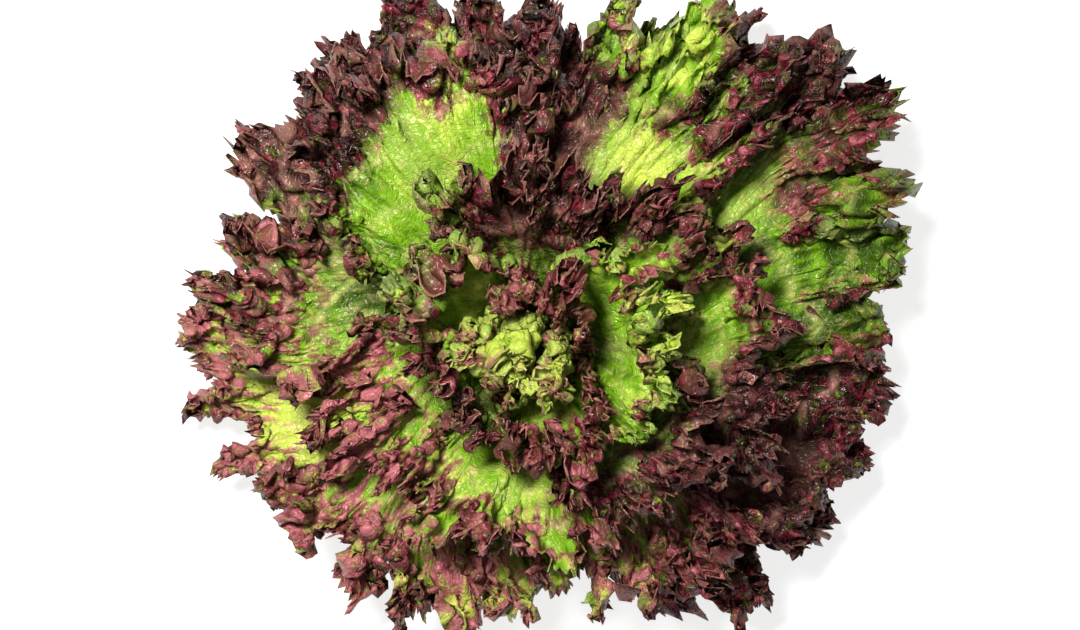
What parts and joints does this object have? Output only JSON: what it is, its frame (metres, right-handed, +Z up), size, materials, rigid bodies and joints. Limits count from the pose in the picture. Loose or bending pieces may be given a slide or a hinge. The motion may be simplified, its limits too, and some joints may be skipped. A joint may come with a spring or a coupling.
{
  "type": "red coral lettuce",
  "caption": "Loose head of red coral lettuce: frilled burgundy-edged green leaves in a spiral round a short cut stem, standing on the cut.",
  "frame": {"origin": "middle of the stem's cut face, on the surface that the head stands on", "axes": "+Z up along the stem, +X along the head's widest reach, to the right in the picture; +Y is the picture's up"},
  "size_m": [0.2811, 0.2579, 0.1134],
  "materials": {
    "pale_stem": "matt, fleshy, pale green to cream, browned on the cut",
    "burgundy_leaf": "satin leaf, burgundy at the frilled margin over green near the rib",
    "russet_leaf": "satin leaf, red-brown frills over fresh green",
    "heart_leaf": "satin leaf, yellow-green with red-brown tips"
  },
  "bodies": {
    "root": {"stem": "pale_stem", "outer_leaf_01": "burgundy_leaf", "outer_leaf_02": "burgundy_leaf", "outer_leaf_03": "burgundy_leaf", "outer_leaf_04": "burgundy_leaf", "outer_leaf_05": "burgundy_leaf", "outer_leaf_06": "burgundy_leaf", "outer_leaf_07": "burgundy_leaf", "outer_leaf_08": "burgundy_leaf", "outer_leaf_09": "burgundy_leaf", "outer_leaf_10": "burgundy_leaf", "middle_leaf_01": "russet_leaf", "middle_leaf_02": "russet_leaf", "middle_leaf_03": "russet_leaf", "middle_leaf_04": "russet_leaf", "middle_leaf_05": "russet_leaf", "middle_leaf_06": "russet_leaf", "middle_leaf_07": "russet_leaf", "middle_leaf_08": "russet_leaf", "middle_leaf_09": "russet_leaf", "inner_leaf_01": "heart_leaf", "inner_leaf_02": "heart_leaf", "inner_leaf_03": "heart_leaf", "inner_leaf_04": "heart_leaf", "inner_leaf_05": "heart_leaf", "inner_leaf_06": "heart_leaf", "inner_leaf_07": "heart_leaf"}
  },
  "joints": []
}
